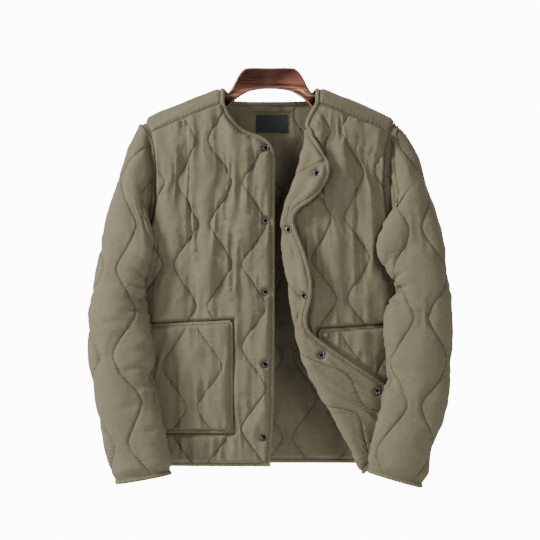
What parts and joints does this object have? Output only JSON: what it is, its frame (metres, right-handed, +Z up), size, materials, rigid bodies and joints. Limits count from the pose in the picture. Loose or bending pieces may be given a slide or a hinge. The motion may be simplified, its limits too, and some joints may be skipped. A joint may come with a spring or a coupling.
{
  "type": "quilted jacket on a hanger",
  "caption": "Collarless quilted jacket with bound edges, snaps and patch pockets, hung open on a broad wooden hanger",
  "frame": {"origin": "middle of the flat top of the hanger, where its hook screws in", "axes": "+Z up, -Y the side the fronts face, +X the wearer's left"},
  "size_m": [0.6726, 0.1777, 0.7798],
  "materials": {
    "quilted_cloth": "matte quilted nylon",
    "binding": "matte woven tape",
    "label_cloth": "matte woven",
    "snap_metal": "darkened satin",
    "hanger_wood": "varnished"
  },
  "bodies": {
    "root": {"front_right": "quilted_cloth", "front_left": "quilted_cloth", "back": "quilted_cloth", "yoke_right": "quilted_cloth", "yoke_left": "quilted_cloth", "sleeve_right": "quilted_cloth", "sleeve_left": "quilted_cloth", "pocket_right": "quilted_cloth", "pocket_left": "quilted_cloth", "pocket_binding_right": "binding", "pocket_binding_left": "binding", "pocket_mouth_right": "binding", "pocket_mouth_left": "binding", "edge_binding": "binding", "hem_binding": "binding", "cuff_binding_right": "binding", "cuff_binding_left": "binding", "label": "label_cloth", "hanger": "hanger_wood", "snap_right_1": "snap_metal", "snap_right_2": "snap_metal", "snap_right_3": "snap_metal", "snap_right_4": "snap_metal", "snap_right_5": "snap_metal", "snap_left_1": "snap_metal", "snap_left_2": "snap_metal", "snap_left_3": "snap_metal", "snap_left_4": "snap_metal", "snap_left_5": "snap_metal"}
  },
  "joints": []
}
